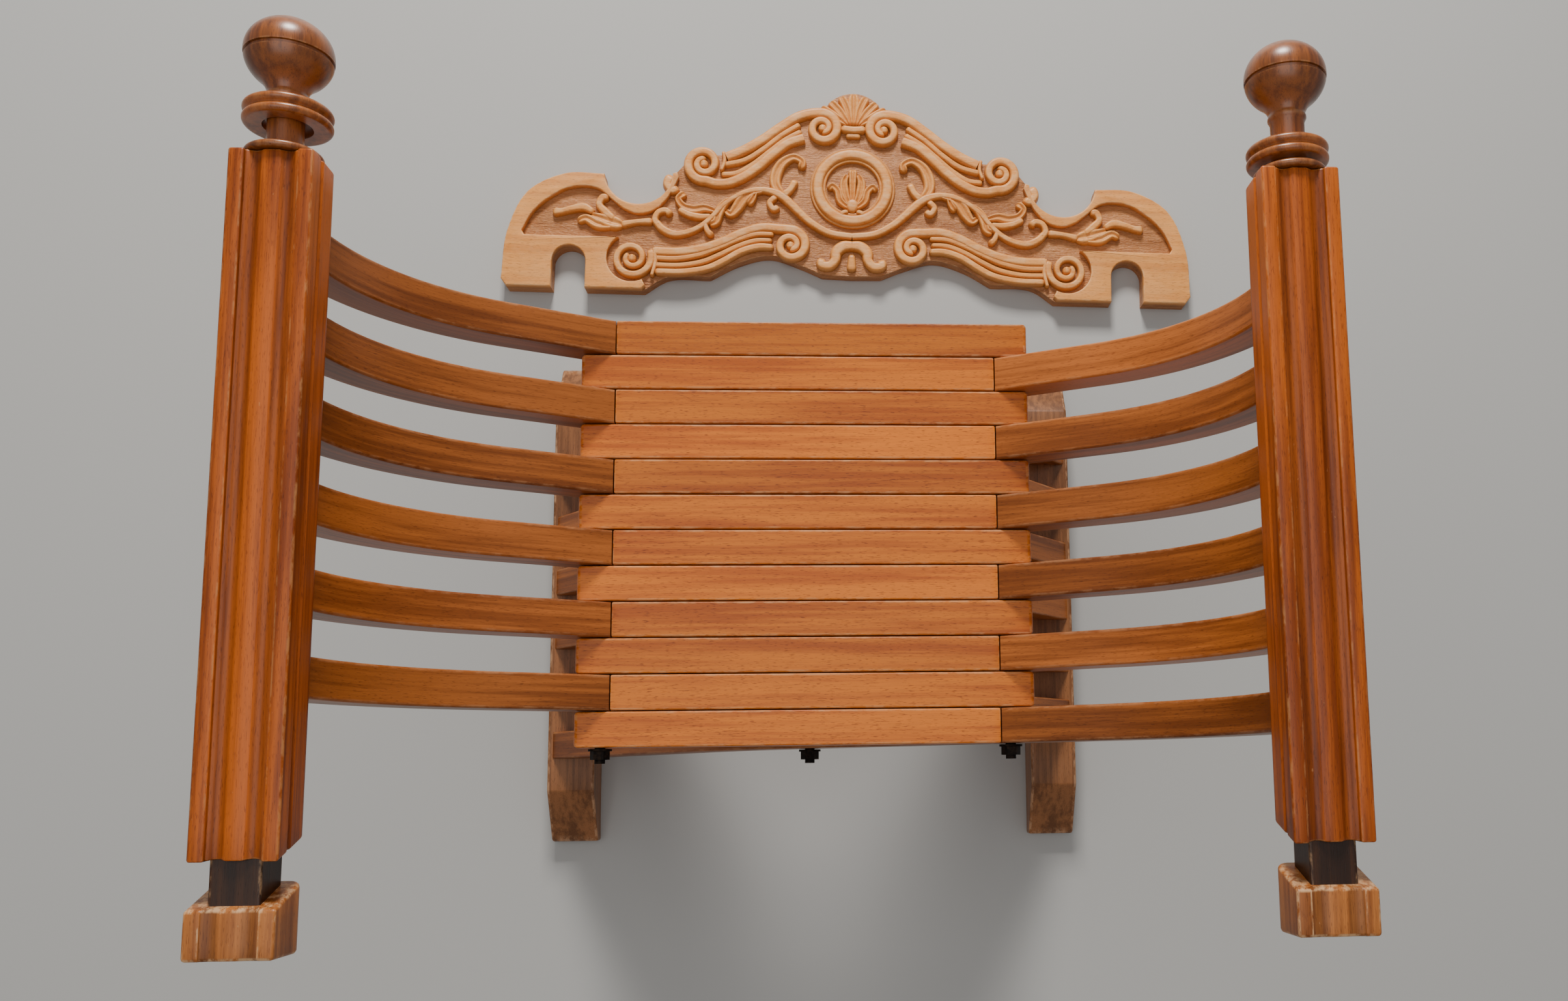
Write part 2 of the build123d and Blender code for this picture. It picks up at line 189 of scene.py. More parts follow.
def beech_group():
    """Colour, roughness and height of stained beech, from grain, edge and tone."""
    tree = bpy.data.node_groups.new("stained_beech", "ShaderNodeTree")
    sockets = (
        ("Light", "NodeSocketColor"), ("Dark", "NodeSocketColor"), ("Worn", "NodeSocketColor"),
        ("Bands", "NodeSocketFloat"), ("Flecks", "NodeSocketFloat"), ("Wear", "NodeSocketFloat"),
        ("Scuffs", "NodeSocketFloat"),
    )
    for name, kind in sockets:
        tree.interface.new_socket(name, in_out="INPUT", socket_type=kind)
    results = (("Color", "NodeSocketColor"), ("Roughness", "NodeSocketFloat"), ("Height", "NodeSocketFloat"))
    for name, kind in results:
        tree.interface.new_socket(name, in_out="OUTPUT", socket_type=kind)
    given = add(tree, "NodeGroupInput").outputs
    grain = add(tree, "ShaderNodeAttribute", attribute_name="grain").outputs["Vector"]
    edge = add(tree, "ShaderNodeAttribute", attribute_name="edge").outputs["Fac"]
    tone_and_shade = add(tree, "ShaderNodeAttribute", attribute_name="tone_and_shade").outputs["Fac"]

    broad = noise(tree, grain, (3.0, 34.0, 34.0), 3.0)
    bands = noise(tree, grain, (7.0, 210.0, 210.0), 3.0, 0.6)
    fibres = noise(tree, grain, (45.0, 1500.0, 1500.0), 2.0, 0.6)
    rays = noise(tree, grain, (210.0, 1700.0, 1700.0), 1.0, 0.4)
    banded = calc(tree, "ADD", calc(tree, "MULTIPLY", broad, 0.5), calc(tree, "MULTIPLY", bands, 0.5))
    dark = between(tree, banded, 0.40, 0.62)
    dark = calc(tree, "MULTIPLY", dark, given["Bands"])
    wood = blend(tree, dark, given["Light"], given["Dark"])
    fibre_shade = calc(tree, "MULTIPLY_ADD", fibres, 0.5)
    fibre_shade.node.inputs[2].default_value = 0.75
    wood = blend(tree, 1.0, wood, fibre_shade, "MULTIPLY")
    fleck = calc(tree, "MULTIPLY", between(tree, rays, 0.60, 0.72), given["Flecks"])
    wood = blend(tree, fleck, wood, blend(tree, 1.0, wood, (0.42, 0.34, 0.30, 1), "MULTIPLY"))
    # The tone attribute scales the colour: one board's own tone, and painted shade and highlight on the arms
    # and the carving.
    tone_and_shade_scale = calc(tree, "ADD", calc(tree, "MULTIPLY", tone_and_shade, 0.22), 1.0)
    wood = blend(tree, 1.0, wood, tone_and_shade_scale, "MULTIPLY")

    patchy = noise(tree, grain, (60.0, 160.0, 160.0), 4.0, 0.7)
    rubbed = calc(tree, "MULTIPLY", edge, between(tree, patchy, 0.42, 0.62))
    rubbed = calc(tree, "MULTIPLY", rubbed, given["Wear"], clamp=True)
    specks = noise(tree, grain, (150.0, 420.0, 420.0), 3.0, 0.7)
    scuffed = calc(tree, "MULTIPLY", between(tree, specks, 0.70, 0.76), given["Scuffs"])
    bare = calc(tree, "MAXIMUM", rubbed, scuffed)
    wood = blend(tree, bare, wood, given["Worn"])
    sheen = calc(tree, "ADD", calc(tree, "MULTIPLY", fibres, 0.16), 0.30)
    sheen = calc(tree, "ADD", sheen, calc(tree, "MULTIPLY", bare, 0.25))
    height = calc(tree, "SUBTRACT", calc(tree, "MULTIPLY", fibres, 0.4), calc(tree, "MULTIPLY", fleck, 0.5))
    add(tree, "NodeGroupOutput", {"Color": wood, "Roughness": sheen, "Height": height})
    return tree


BEECH = beech_group()
print("group sockets:", len(BEECH.interface.items_tree))


# %% [markdown]
# A wood material places the group and gives it the colours of one set of pieces. The seat boards and
# the slats were stained from the same pot, but the arms are redder and the carved board is paler, so
# each gets its own pair of colours. A thin clear coat gives the satin varnish its highlights.

# %% Wood materials
def wood_material(name, light, dark, worn, bands=1.0, flecks=0.6, wear=0.7, scuffs=0.0, coat=0.10):
    """A varnished, stained wood."""
    material = bpy.data.materials.new(name)
    material.use_nodes = True
    tree = material.node_tree
    shader = tree.nodes["Principled BSDF"]
    values = {"Light": colour(*light), "Dark": colour(*dark), "Worn": colour(*worn), "Bands": bands,
              "Flecks": flecks, "Wear": wear, "Scuffs": scuffs}
    group = add(tree, "ShaderNodeGroup", node_tree=BEECH)
    for key, value in values.items():
        group.inputs[key].default_value = value
    relief = {"Height": group.outputs["Height"], "Strength": 0.25, "Distance": 0.0004}
    bump = add(tree, "ShaderNodeBump", relief)
    tree.links.new(group.outputs["Color"], shader.inputs["Base Color"])
    tree.links.new(group.outputs["Roughness"], shader.inputs["Roughness"])
    tree.links.new(bump.outputs["Normal"], shader.inputs["Normal"])
    shader.inputs["Coat Weight"].default_value = coat
    shader.inputs["Coat Roughness"].default_value = 0.28
    shader.inputs["Specular IOR Level"].default_value = 0.25
    return material


ARM_WOOD = wood_material("arm_wood", (176, 86, 18), (118, 50, 8), (214, 158, 100), wear=0.35, scuffs=0.3)
SLAT_WOOD = wood_material("slat_wood", (174, 98, 42), (124, 64, 24), (206, 150, 104), wear=0.25)
SEAT_WOOD = wood_material("seat_wood", (206, 112, 24), (168, 80, 14), (224, 172, 120), flecks=0.8, wear=0.4)
RUNNER_WOOD = wood_material("runner_wood", (154, 100, 60), (112, 70, 40), (204, 158, 120), wear=0.6)
BLOCK_WOOD = wood_material("block_wood", (176, 108, 52), (128, 70, 28), (220, 178, 132), wear=0.8, scuffs=0.6)
NECK_WOOD = wood_material("neck_wood", (66, 38, 20), (40, 22, 12), (190, 150, 108), wear=0.5)
TURNED_WOOD = wood_material("turned_wood", (150, 82, 30), (104, 52, 18), (206, 150, 98), wear=0.3, coat=0.7)
CARVED_WOOD = wood_material("carved_wood", (224, 152, 80), (192, 116, 50), (238, 196, 146), bands=0.6,
                            wear=0.5)


# %% [markdown]
# The recessed ground of the carving is struck all over with fine lines from a small gouge. They are far
# finer than the carving, so they are bump, made from noise that is stretched along the board.

# %% Ground of the carving and steel
def ground_material():
    """Darker carved wood with fine struck lines."""
    material = wood_material("carved_ground", (208, 140, 86), (174, 110, 62), (216, 168, 120), flecks=0.2)
    tree = material.node_tree
    grain = add(tree, "ShaderNodeAttribute", attribute_name="grain").outputs["Vector"]
    struck = noise(tree, grain, (110.0, 620.0, 620.0), 2.0, 0.6)
    bump = tree.nodes["Bump"]
    tree.links.new(struck, bump.inputs["Height"])
    bump.inputs["Strength"].default_value = 1.0
    bump.inputs["Distance"].default_value = 0.0022
    return material


def steel_material():
    """Dark tarnished steel for the rods, washers and nuts."""
    material = bpy.data.materials.new("tarnished_steel")
    material.use_nodes = True
    tree = material.node_tree
    shader = tree.nodes["Principled BSDF"]
    place = add(tree, "ShaderNodeTexCoord").outputs["Object"]
    stain = noise(tree, place, (300.0, 300.0, 300.0), 4.0)
    tint = blend(tree, between(tree, stain, 0.4, 0.65), colour(26, 20, 17), colour(52, 40, 32))
    tree.links.new(tint, shader.inputs["Base Color"])
    tree.links.new(calc(tree, "MULTIPLY_ADD", stain, 0.4), shader.inputs["Roughness"])
    shader.inputs["Metallic"].default_value = 0.85
    return material


CARVED_GROUND = ground_material()
STEEL = steel_material()
for node in ("left_hinge", "right_hinge", "crossing"):
    for kind in ("rod", "washer", "nut"):
        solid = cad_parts[f"{node}_{kind}"]
        for slot in solid.material_slots:
            slot.material = STEEL

floor_paint = bpy.data.materials.new("pale_floor")
floor_paint.use_nodes = True
floor_shader = floor_paint.node_tree.nodes["Principled BSDF"]
floor_shader.inputs["Base Color"].default_value = colour(178, 177, 174)
floor_shader.inputs["Roughness"].default_value = 0.95
floor.data.materials.append(floor_paint)

# %% [markdown]
# Nearly every piece is a loft: a closed section repeated along a line and closed with a cap at each
# end. A loft is an array of rings, so a whole slat or arm is worked out with a few lines of numpy.
# Several lofts can share one mesh, which is how the carving's many strokes stay one piece each.

# %% Mesh helpers
def loft(rings, grain=None, edge=None):
    """Quads between neighbouring rings of points, and a fan of triangles over each end ring."""
    count, around = rings.shape[:2]
    index = np.arange(count * around).reshape(count, around)
    turned = np.roll(index, -1, axis=1)
    quads = np.stack([index[:-1], turned[:-1], turned[1:], index[1:]], axis=-1).reshape(-1, 4)
    centres = rings[[0, -1]].mean(axis=1)
    points = np.concatenate([rings.reshape(-1, 3), centres])
    first, last = count * around, count * around + 1
    fan_first = np.stack([turned[0], index[0], np.full(around, first)], axis=-1)
    fan_last = np.stack([index[-1], turned[-1], np.full(around, last)], axis=-1)
    grain = points if grain is None else np.concatenate([grain.reshape(-1, 3), grain[[0, -1]].mean(axis=1)])
    edge = np.zeros(rings.shape[:2]) if edge is None else np.broadcast_to(edge, rings.shape[:2])
    edge = np.concatenate([edge.reshape(-1), [0.0, 0.0]])
    return {"points": points, "quads": quads, "triangles": np.concatenate([fan_first, fan_last]),
            "grain": grain, "edge": edge}


def make_piece(name, shapes, material, body, nodes=(), seed=0, move=None, sharp=38):
    """Joins lofts into one named object in metres, gives it its attributes and hangs it on a body."""
    picks = np.random.default_rng(seed)
    offset = picks.uniform(-40, 40, 3)
    board_tone = picks.uniform(-1, 1)
    tone_and_shade = np.concatenate([shape.get("tone_and_shade", np.full(len(shape["points"]), board_tone)) for shape in shapes])
    starts = np.cumsum([0] + [len(shape["points"]) for shape in shapes])
    points = np.concatenate([shape["points"] for shape in shapes])
    if move is not None:
        points = move(points)
    points = (points + MIDDLE) * MM
    faces = []
    for start, shape in zip(starts, shapes):
        faces += (shape["quads"] + start).tolist() + (shape["triangles"] + start).tolist()
        faces += [(polygon + start).tolist() for polygon in shape.get("polygons", ())]
    mesh = bpy.data.meshes.new(name)
    mesh.from_pydata(points.tolist(), [], faces)
    grain = np.concatenate([shape["grain"] for shape in shapes]) * MM + offset
    edge = np.concatenate([shape["edge"] for shape in shapes])
    mesh.attributes.new("grain", "FLOAT_VECTOR", "POINT").data.foreach_set("vector", grain.ravel())
    mesh.attributes.new("edge", "FLOAT", "POINT").data.foreach_set("value", edge)
    mesh.attributes.new("tone_and_shade", "FLOAT", "POINT").data.foreach_set("value", tone_and_shade)
    mesh.shade_smooth()
    mesh.set_sharp_from_angle(angle=math.radians(sharp))
    mesh.materials.append(material)
    piece = bpy.data.objects.new(name, mesh)
    bpy.context.scene.collection.objects.link(piece)
    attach(piece, body)
    if nodes:
        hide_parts(*nodes)
    return piece


FLAT_BESIDE_ROUND = 1.0


def rounded_box_section(width, height, radius):
    """A rectangle with rounded corners, counter-clockwise, and a mask that is 1 on the corners."""
    turns = np.radians([0, 0, 22.5, 45, 67.5, 90, 90])
    points, edge = [], []
    for quarter, (across, up) in enumerate(((1, 1), (-1, 1), (-1, -1), (1, -1))):
        angle = turns + quarter * math.pi / 2
        corner = np.array([across * (width / 2 - radius), up * (height / 2 - radius)])
        run = corner + radius * np.stack([np.cos(angle), np.sin(angle)], axis=1)
        before = np.array([math.sin(angle[0]), -math.cos(angle[0])])
        after = np.array([-math.sin(angle[-1]), math.cos(angle[-1])])
        run[0] += before * FLAT_BESIDE_ROUND
        run[-1] += after * FLAT_BESIDE_ROUND
        points.append(run)
        edge.append([0, 1, 1, 1, 1, 1, 0])
    return np.concatenate(points), np.concatenate(edge).astype(float)


def other_side(points):
    """The same points on the other side of the chair."""
    return points * [-1, 1, 1]


def flipped(shape):
    """A loft turned inside out, to put right the one that was mirrored."""
    turned = {key: shape[key][:, ::-1] for key in ("quads", "triangles")}
    turned["polygons"] = [polygon[::-1] for polygon in shape.get("polygons", ())]
    return {**shape, **turned}


# %% [markdown]
# A slat is one bent bar: a straight foot, a long bow through the crossing, a straight run under the
# seat and a tighter bow up to the arm. Only its direction is given along its length; adding up that
# direction gives the middle line, the way a pen walks along a curve. Rings stand square to the line,
# except round the housing, where they stand upright so that the cut for the board head is exact.

# %% Slats
SLAT_DEPTH = 29.0
FOOT_ANGLE, SEAT_ANGLE, ARM_ANGLE = 52, 29, 80
FOOT_RADIUS, ARM_RADIUS = 318.0, 189.5
FOOT_RUN, SEAT_RUN, ARM_RUN = 260.0, 262.0, 60.0
FOOT_BOW = math.radians(FOOT_ANGLE - SEAT_ANGLE) * FOOT_RADIUS
ARM_BOW = math.radians(ARM_ANGLE - SEAT_ANGLE) * ARM_RADIUS
RUNNER_TOP = 48.0
ARM_UNDERSIDE = 606.0
HOUSING_X = 150.0
HOUSING_DEEP = 10.0
SLOPE = math.tan(math.radians(SEAT_ANGLE))


def slat_line():
    """Distance from the crossing, direction and place along the middle line of a slat."""
    bends = np.cumsum([0, FOOT_RUN, FOOT_BOW, SEAT_RUN, ARM_BOW, ARM_RUN]) - FOOT_RUN - FOOT_BOW
    along = np.linspace(bends[0], bends[-1], 6001)
    direction = np.radians(np.interp(along, bends, np.repeat([FOOT_ANGLE, SEAT_ANGLE, ARM_ANGLE], 2)))
    middle = (direction[1:] + direction[:-1]) / 2
    step = np.diff(along)
    x = np.concatenate([[0], np.cumsum(np.cos(middle) * step)])
    z = np.concatenate([[0], np.cumsum(np.sin(middle) * step)])
    return along, direction, x - np.interp(0, along, x), z - np.interp(0, along, z) + PIVOT


ALONG, DIRECTION, LINE_X, LINE_Z = slat_line()


def slat(index):
    """A left slat: rounded section carried along the line, levelled at both ends, with its housing."""
    section, edge = rounded_box_section(STRIP, SLAT_DEPTH, 1.6)
    foot = np.interp(RUNNER_TOP, LINE_Z, ALONG)
    top = np.interp(ARM_UNDERSIDE, LINE_Z, ALONG)
    cosine = math.cos(math.radians(SEAT_ANGLE))
    housing = np.array([95, 120, 131.95, 132, 141, HOUSING_X - 0.01, HOUSING_X, 156, 175]) / cosine
    bows = [np.linspace(foot + 24, -8, 22), np.linspace(10, 90, 5), housing, np.linspace(212, top - 22, 26)]
    stations = np.concatenate([[foot], *bows, [top]])
    upright = np.zeros(len(stations))
    upright[(stations > 95) & (stations < 205)] = 1.0
    y, up = section[:, 0], section[:, 1]
    slid = stations[:, None] + up[None, :] * SLOPE * upright[:, None]
    direction = np.interp(slid, ALONG, DIRECTION)
    x = np.interp(slid, ALONG, LINE_X) - up * np.sin(direction)
    z = np.interp(slid, ALONG, LINE_Z) + up * np.cos(direction)
    for row, level in ((0, RUNNER_TOP - 0.5), (-1, ARM_UNDERSIDE + 0.5)):
        lengthen = (level - z[row]) / np.sin(direction[row])
        x[row] += lengthen * np.cos(direction[row])
        z[row] += lengthen * np.sin(direction[row])
    station_x = stations * cosine
    cut = (station_x > 131.9) & (station_x < HOUSING_X - 0.001)
    z[cut] = np.minimum(z[cut], SEAT_TOP - HOUSING_DEEP)
    rings = np.stack([x, np.broadcast_to(y + plane_y(index), x.shape), z], axis=-1)
    grain = np.stack([slid, np.broadcast_to(y, x.shape), np.broadcast_to(up, x.shape)], axis=-1)
    return loft(rings, grain, edge)


def swapped(shape):
    """A left piece made into a right one."""
    return flipped({**shape, "points": other_side(shape["points"])})


for index in range(PLANES):
    side = ("left", "right")[index % 2]
    shape = slat(index)
    if side == "right":
        shape = swapped(shape)
    number = index // 2 + 1
    name = f"{side}_slat_{number}"
    make_piece(f"{name}_wood", [shape], SLAT_WOOD, f"{side}_frame", [name], seed=index)
print("slats:", PLANES, "points in each:", len(shape["points"]))

# %% [markdown]
# A seat board is a straight bar with small chamfers at its free end. Its head has the wood below the
# ledge cut away at the slat's own slope, so that it drops into the housing. The rings stand upright
# along X, and the underside of each ring is lifted to the line of that cut.

# %% Seat boards
BOARD_THICK = 22.0
BOARD_END = 176.0
HEAD = HOUSING_X - 0.6
LEDGE = SEAT_TOP - HOUSING_DEEP + 0.6
BEVEL = HEAD - HOUSING_DEEP / SLOPE
UNDER = SEAT_TOP - BOARD_THICK


def seat_board(index):
    """A board that turns on the right rod and rests its head in a left slat."""
    section, edge = rounded_box_section(STRIP, BOARD_THICK, 1.1)
    cut_start = BEVEL - (LEDGE - UNDER) / SLOPE
    x = np.array([0, 0.3, 1.0, 2.0, 3.2])
    shrink = np.array([2.0, 1.4, 0.7, 0.15, 0])
    body = np.concatenate([np.linspace(30, BOARD_END + cut_start - 2, 9) - BOARD_END, [cut_start]])
    head = [BEVEL - 6, BEVEL - 0.01, BEVEL, HEAD - 7, HEAD - 1.4]
    stations = np.concatenate([x - BOARD_END, body, head, [HEAD - 0.5, HEAD - 0.1, HEAD]])
    inset = np.concatenate([shrink, np.zeros(len(body) + len(head)), [0.15, 0.5, 0.9]])
    half = np.array([STRIP, BOARD_THICK]) / 2
    scale = (half - inset[:, None]) / half
    y = section[None, :, 0] * scale[:, :1]
    z = section[None, :, 1] * scale[:, 1:] + SEAT_TOP - BOARD_THICK / 2
    floor_line = np.interp(stations, [cut_start, BEVEL - 0.01, BEVEL], [UNDER, LEDGE, LEDGE])
    z = np.maximum(z, floor_line[:, None] + 0 * z)
    x = np.broadcast_to(stations[:, None], z.shape).copy()
    under_cut = 5.0 * (SEAT_TOP - z) / (SEAT_TOP - LEDGE)
    near_head = np.clip((x - (HEAD - 7.5)) / 6, 0, 1)
    x -= under_cut * near_head
    worn = np.maximum(edge[None, :], (inset[:, None] > 0.05) * 0.9)
    rings = np.stack([x, y + plane_y(index), z], axis=-1)
    return loft(rings, np.stack([x, y, z], axis=-1), worn)


for index in range(PLANES):
    shape = seat_board(index)
    if index % 2:
        shape = swapped(shape)
    name = f"seat_board_{index + 1:02d}"
    body = f"board_{index + 1:02d}"
    make_piece(f"{name}_wood", [shape], SEAT_WOOD, body, [name], seed=100 + index)
print("boards:", PLANES)

# %% [markdown]
# The arms were run through a moulding plane: a flat strip along each edge, and between them two coves
# with a broad flat reed. A quirk is scratched along each side and the lower corners are rounded. The
# section is a list of points from the top middle to the bottom middle, mirrored to close it.

# %% Arms, necks and end blocks
ARM_X = 328.0
ARM_HALF = 26.0
ARM_TOP = 648.0
ARM_FRONT = -201.0
ARM_REAR = 238.0
SLOT = 27.0
BLOCK_LENGTH = 29.0
LEAN = math.tan(math.radians(19))


def moulded_section(depth, quirk):
    """Half of the arm's section from the top middle round to the bottom middle, then mirrored."""
    bottom = ARM_UNDERSIDE - ARM_TOP
    cove = np.linspace(0, math.pi, 7)
    half = [(0.0, -0.55 * depth), (4.4, -0.62 * depth), (5.8, -0.85 * depth)]
    half += [(5.8 + 9.2 * t / math.pi, -0.9 * depth - 0.75 * depth * math.sin(t)) for t in cove]
    half += [(16.0, -0.9 * depth), (16.4, -0.25 * depth), (17.0, -0.08 * depth), (18.0, 0.0), (24.2, 0.0)]
    half += [(25.3, -0.3), (ARM_HALF - 0.08, -1.1), (ARM_HALF, -2.4), (ARM_HALF, -12.6)]
    half += [(ARM_HALF - quirk, -14.0), (ARM_HALF - quirk, -17.0), (ARM_HALF, -18.4),
             (ARM_HALF, bottom + 9)]
    rounding = np.radians([0, 18, 36, 54, 72, 90])
    half += [(ARM_HALF - 8 + 8 * math.cos(t), bottom + 8 - 8 * math.sin(t)) for t in rounding]
    half += [(10.0, bottom), (0.0, bottom)]
    half = np.array(half)
    edge = np.isin(np.round(half[:, 0], 2), [17.0, 25.3, 25.92]) & (half[:, 1] > -3)
    mirrored = half[-2:0:-1] * [-1, 1]
    section = np.concatenate([half, mirrored])[::-1]
    return section, np.concatenate([edge, edge[-2:0:-1]]).astype(float)[::-1]


def outward(section):
    """Mitred normals of a counter-clockwise outline: moving along them keeps each wall parallel."""
    along = np.roll(section, -1, axis=0) - section
    along = along / np.linalg.norm(along, axis=1, keepdims=True)
    after = np.stack([along[:, 1], -along[:, 0]], axis=1)
    before = np.roll(after, 1, axis=0)
    facing = 1 + np.sum(before * after, axis=1, keepdims=True)
    return (before + after) / np.maximum(facing, 0.5)


def moulded_bar(section, edge, front, rear, lean_front, lean_rear, radius=1.6):
    """A moulded bar along Y with softened end arrises. A leaning end is sheared about the arm's top."""
    turns = np.radians([0, 30, 60, 90])
    round_along = radius * (1 - np.sin(turns))
    round_in = radius * (1 - np.cos(turns))
    margin = min(20, 0.35 * (rear - front))
    middle = np.linspace(front + margin, rear - margin, max(3, int((rear - front) / 12)))
    stations = np.concatenate([front + round_along[::-1], middle, rear - round_along])
    inset = np.concatenate([round_in[::-1], np.zeros(len(middle)), round_in])
    places = section[None] - outward(section)[None] * inset[:, None, None]
    blend_rear = np.clip((stations - (rear - 18)) / 16, 0, 1)
    blend_front = np.clip(((front + 18) - stations) / 16, 0, 1)
    shear = LEAN * (blend_rear * lean_rear + blend_front * lean_front)
    y = stations[:, None] + places[..., 1] * shear[:, None]
    rings = np.stack([places[..., 0] + ARM_X, y, places[..., 1] + ARM_TOP], axis=-1)
    worn = np.maximum(edge[None, :], (inset[:, None] > 0.05) * 0.9)
    grain = np.stack([y, places[..., 0], places[..., 1]], axis=-1)
    shape = loft(rings[:, ::-1], grain[:, ::-1], worn[:, ::-1])
    # Painted shade: the coves of the moulding are darkened and the flats beside them lightened, as light
    # falls across the section.
    across = np.abs(shape["points"][:, 0] - ARM_X)
    in_cove = (across > 6) & (across < 16.2) & (shape["points"][:, 2] > ARM_TOP - 8)
    shape["tone_and_shade"] = np.where(in_cove, -1.2, 0.4)
    return shape


def square_bar(width, top, bottom, front, rear):
    """The square neck between an arm and its end block."""
    section, edge = rounded_box_section(width, top - bottom, 1.2)
    stations = np.linspace(front, rear, 5)
    rings = np.stack([
        np.broadcast_to(section[:, 0] + ARM_X, (5, len(section))),
        np.broadcast_to(stations[:, None], (5, len(section))),
        np.broadcast_to(section[:, 1] + (top + bottom) / 2, (5, len(section))),
    ], axis=-1)
    grain = rings[..., [1, 0, 2]]
    return loft(rings[:, ::-1], grain[:, ::-1], edge[::-1])


def end_block():
    """The worn block behind the slot: faint flutes on top, leaning front, chamfered lower rear edge."""
    section, edge = moulded_section(0.9, 0.0)
    start = ARM_REAR + SLOT
    shape = moulded_bar(section, edge, start, start + BLOCK_LENGTH, 1.0, 0.0, radius=2.2)
    points = shape["points"]
    low = np.clip((ARM_TOP - points[:, 2] - 34) / 6, 0, 1)
    points[:, 1] = np.minimum(points[:, 1], start + BLOCK_LENGTH - 5 * low)
    return shape


arm_section, arm_edge = moulded_section(2.6, 1.2)
for seed, side in enumerate(("left", "right")):
    pieces = {
        "arm": (moulded_bar(arm_section, arm_edge, ARM_FRONT, ARM_REAR, 0.0, 1.0), ARM_WOOD),
        "neck": (square_bar(30, 642, 612, ARM_REAR - 40, ARM_REAR + SLOT + 12), NECK_WOOD),
        "end_block": (end_block(), BLOCK_WOOD),
    }
    for part, (shape, wood) in pieces.items():
        shape = shape if side == "left" else swapped(shape)
        nodes = [] if part == "neck" else [f"{side}_{part}"]
        make_piece(f"{side}_{part}_wood", [shape], wood, f"{side}_frame", nodes, seed=200 + seed)

# %% [markdown]
# The finials and the loose rings were turned on a lathe, so each is one outline spun about its axis.
# The outline is a list of radius and distance along the axis, with arcs where the turner's gouge
# rounded the wood; spinning it is one line of numpy, a ring of points for every point of the outline.

# %% Turned finials and rings
FINIAL_Z = 627.0
BALL = 27.5
BALL_AHEAD = 72.0
BALL_FLATNESS = 0.86
RING_DROP = 3.2
LATHE_STEPS = 96


def spun(outline, ahead, height):
    """An outline of (distance ahead, radius) spun about the finial's axis, closed at both ends."""
    outline = np.array(outline, float)
    turn = np.linspace(0, 2 * math.pi, LATHE_STEPS, endpoint=False)
    distance, radius = outline[:, :1], outline[:, 1:]
    across, up = radius * np.cos(turn), radius * np.sin(turn)
    forward = distance + 0 * across
    rings = np.stack([across + ARM_X, ARM_FRONT - ahead - forward, up + height], axis=-1)
    grain = np.stack([forward, across, up], axis=-1)
    corner = np.zeros(len(outline))
    bend = np.diff(np.unwrap(np.arctan2(*np.diff(outline, axis=0).T[::-1])))
    corner[1:-1] = np.clip(bend * -1.5, 0, 1)
    return loft(rings, grain, corner[:, None])


def arc_points(centre, radius, first, last, count):
    """Points of an arc on the outline: centre ahead and out, angles in degrees from straight ahead."""
    angle = np.radians(np.linspace(first, last, count))
    return [(centre[0] + radius * math.cos(a), centre[1] + radius * math.sin(a)) for a in angle]


def finial_outline():
    """Disc, stem, astragal, flared neck, and a flattened ball scored just behind its widest place."""
    line = [(-4, 0.0), (-4, 7.8), (0.3, 8.0), (0.3, 21.0)]
    line += arc_points((2.6, 21.6), 2.35, 170, 10, 9)
    line += [(5.0, 18.0), (5.0, 12.4), (6.2, 11.4), (20, 11.2), (39, 11.4)]
    line += [(40.5, 12.2), (42, 12.9), (43.5, 12.8), (44.5, 12.2), (46, 12.3), (49, 13.6), (52, 15.6)]
    ball = arc_points((0, 0), BALL, 138, 101, 18)
    ball += arc_points((0, 0), BALL - 1.4, 100, 96, 4)
    ball += arc_points((0, 0), BALL, 95, 1.5, 34)
    line += [(BALL_AHEAD + BALL_FLATNESS * ahead, radius) for ahead, radius in ball]
    return line + [(BALL_AHEAD + BALL_FLATNESS * BALL, 0.0)]


def ring_outline():
    """Two rounded flanges with a fine groove between them, and a hollowed bore."""
    line = [(-6.2, 15.4), (-6.4, 18.0), (-6.4, 24.6)]
    line += arc_points((-3.6, 24.6), 2.8, 180, 25, 9)
    line += [(-0.5, 25.2), (0.0, 24.9), (0.5, 25.2)]
    line += arc_points((3.6, 24.6), 2.8, 155, 0, 9)
    line += [(6.4, 24.0), (6.4, 18.0), (6.2, 15.4), (5.4, 15.05), (0, 15.05), (-5.4, 15.05)]
    return line


def open_ring(outline, ahead, height):
    """Like spun, but the outline closes on itself, so that the ring keeps its bore."""
    shape = spun(outline, ahead, height)
    first = np.arange(LATHE_STEPS)
    last = first + (len(outline) - 1) * LATHE_STEPS
    closing = np.stack([last, np.roll(last, -1), np.roll(first, -1), first], axis=-1)
    shape["quads"] = np.concatenate([shape["quads"], closing])
    shape["triangles"] = shape["triangles"][:0]
    for key in ("points", "grain", "edge"):
        shape[key] = shape[key][:-2]
    return shape


RING_AHEAD = {"left": 30.5, "right": 16.5}
for side in ("left", "right"):
    turned = spun(finial_outline(), 0, FINIAL_Z)
    collar = open_ring(ring_outline(), RING_AHEAD[side], FINIAL_Z - RING_DROP)
    if side == "right":
        turned, collar = swapped(turned), swapped(collar)
    make_piece(f"{side}_finial_wood", [turned], TURNED_WOOD, f"{side}_frame", [f"{side}_finial"],
               seed=300)
    make_piece(f"{side}_ring_wood", [collar], TURNED_WOOD, f"{side}_collar", [f"{side}_ring"],
               seed=301)

# %% [markdown]
# Each runner is a straight bar that slopes down to a low toe at both ends. Its rings keep their
# rounded corners while their height follows the slope, and two rings close together make the crisp
# line where the slope begins.

# %% Runners
RUNNER_X = 248.5
RUNNER_WIDTH = 47.0
RUNNER_HALF = 252.0
RUNNER_FLAT = 200.0
RUNNER_TOE = 15.0
RUNNER_ROUND = 2.2


